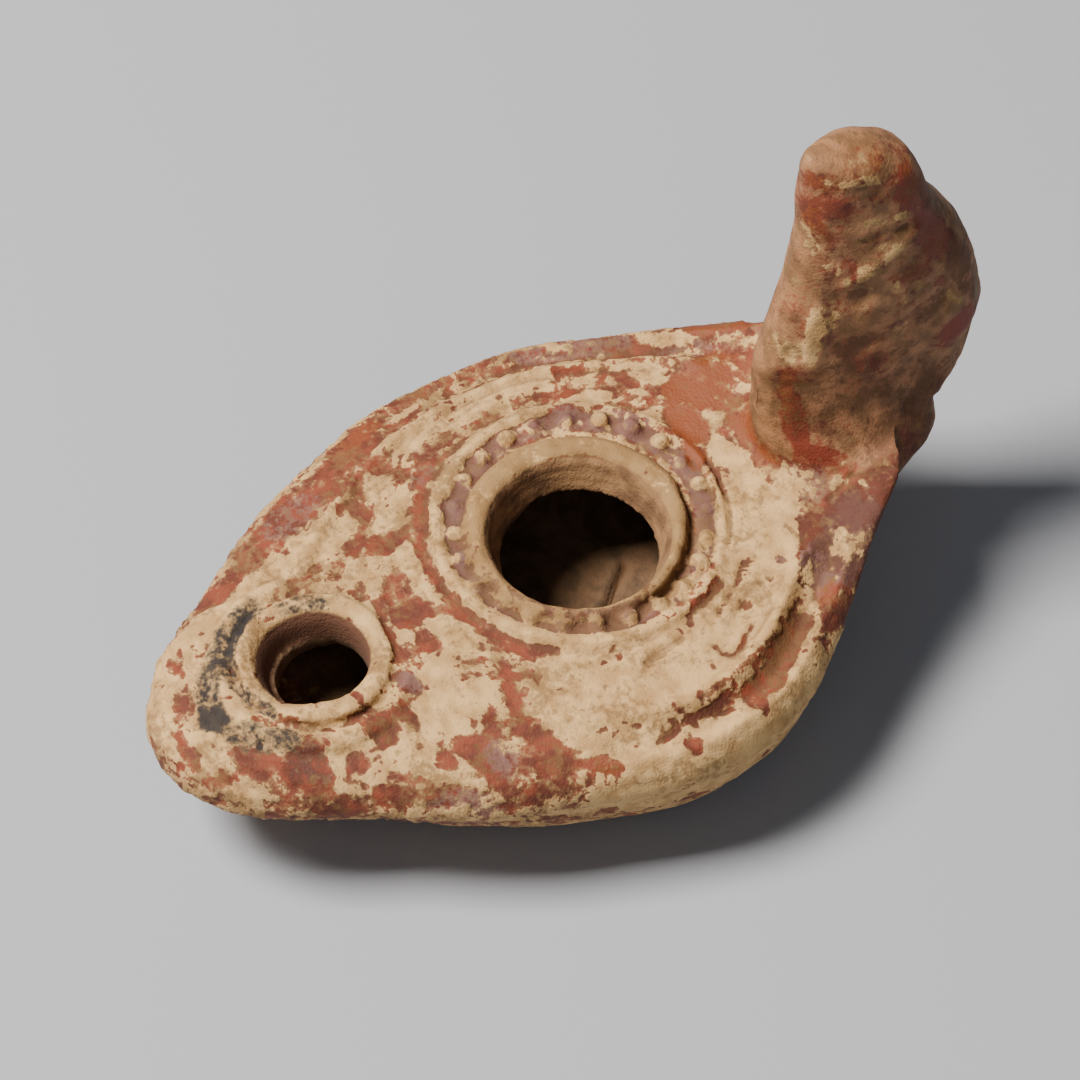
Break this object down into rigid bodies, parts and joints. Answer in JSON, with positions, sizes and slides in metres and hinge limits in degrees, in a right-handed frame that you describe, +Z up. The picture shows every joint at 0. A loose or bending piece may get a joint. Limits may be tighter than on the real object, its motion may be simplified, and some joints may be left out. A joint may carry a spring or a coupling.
{
  "type": "oil lamp",
  "caption": "Almond-shaped hollow fired-clay oil lamp with a rimmed filling hole, a bead band, a wick hole in its nozzle and a tall pinched lug handle.",
  "frame": {"origin": "centre of the flat round foot on the underside, straight below the filling hole", "axes": "+Z up, +Y towards the handle, -Y towards the nozzle and wick hole, +X to the right when looking from the nozzle to the handle"},
  "size_m": [0.0647, 0.109, 0.0739],
  "materials": {
    "fired_clay": "brick-red earthenware with a worn matt slip, cream earth crust and soot at the nozzle"
  },
  "bodies": {
    "root": {"lamp_body": "fired_clay"}
  },
  "joints": []
}
